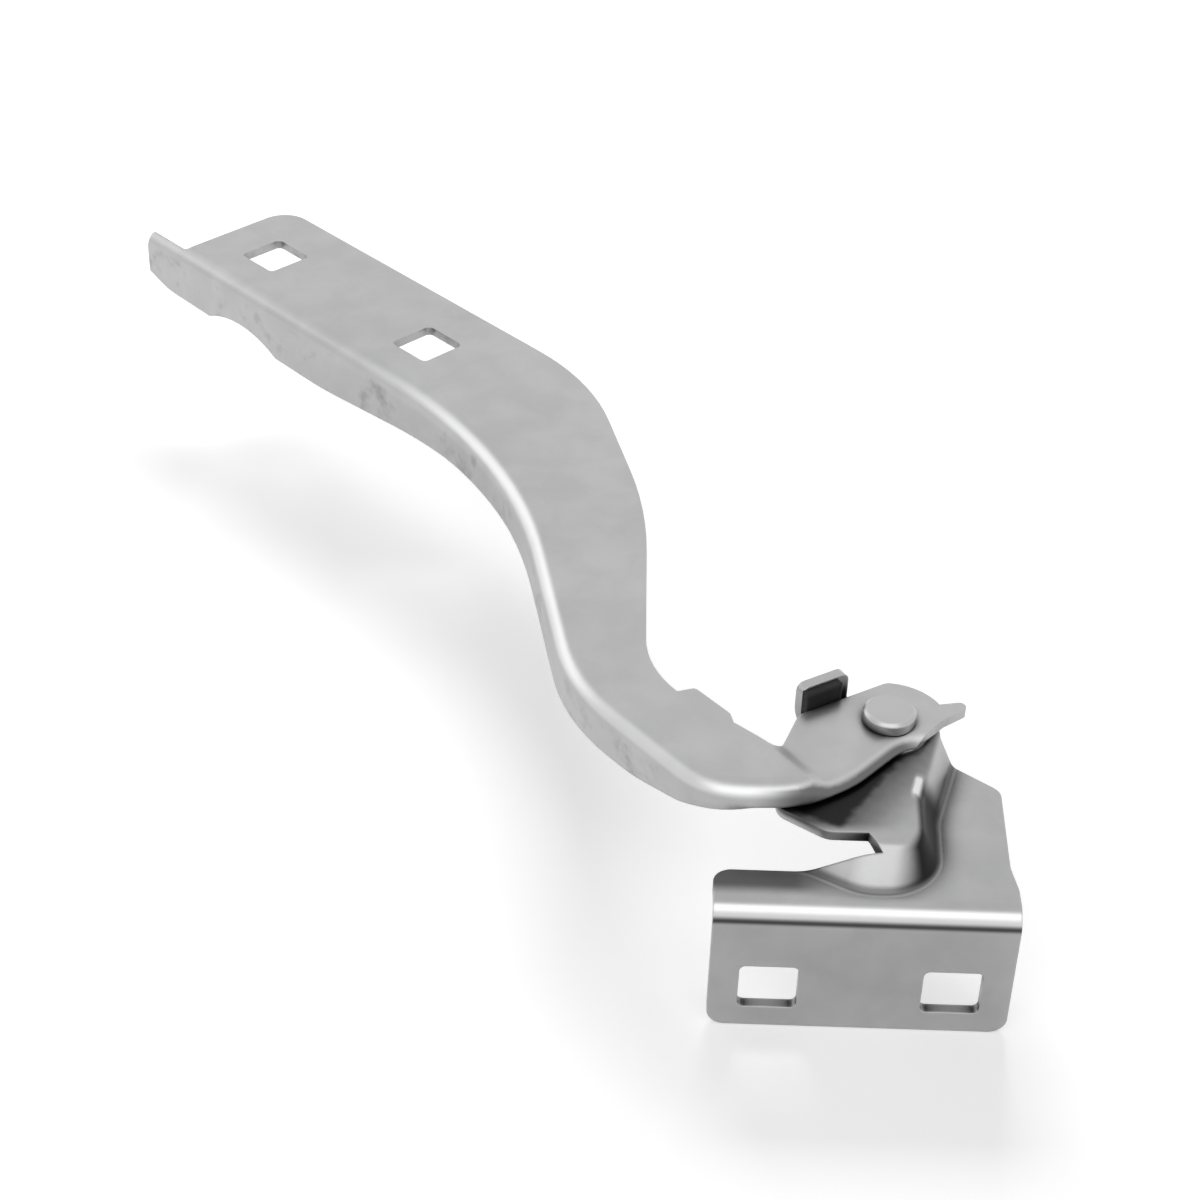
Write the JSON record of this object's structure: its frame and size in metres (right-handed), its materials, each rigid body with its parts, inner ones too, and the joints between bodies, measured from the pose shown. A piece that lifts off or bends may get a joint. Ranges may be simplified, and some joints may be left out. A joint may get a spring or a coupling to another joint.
{
  "type": "bonnet hinge",
  "caption": "Riveted gooseneck bonnet hinge: a long flanged S-shaped steel arm turns on a raised ear of a short flanged bracket and opens onto a stop tab.",
  "frame": {"origin": "midway between the two body bolt holes, on the face of the foot that meets the body", "axes": "+X along the foot towards its right end, +Y from the foot's contact face towards the pivot and the arm, +Z along the pivot axis towards the rivet's head; the hinge stands fully open"},
  "size_m": [0.2301, 0.2832, 0.05],
  "materials": {
    "bracket_zinc": "zinc-plated steel, satin",
    "arm_zinc": "zinc-plated steel, satin",
    "rivet_zinc": "zinc-plated steel, satin",
    "washer_zinc": "zinc-plated steel, satin",
    "bush_bronze": "bronze, plain turned",
    "buffer_rubber": "black rubber, matt"
  },
  "bodies": {
    "bracket": {"base_bracket": "bracket_zinc", "pivot_rivet": "rivet_zinc", "thrust_washer": "washer_zinc", "tail_washer": "washer_zinc", "stop_buffer": "buffer_rubber"},
    "arm": {"hinge_arm": "arm_zinc", "pivot_bush": "bush_bronze"}
  },
  "joints": [
    {"name": "bonnet_swing", "type": "hinge", "parent": "bracket", "child": "arm", "pos_m": [0.007, 0.052, 0.032], "axis": [0, 0, 1], "range_deg": [0, 45]}
  ]
}
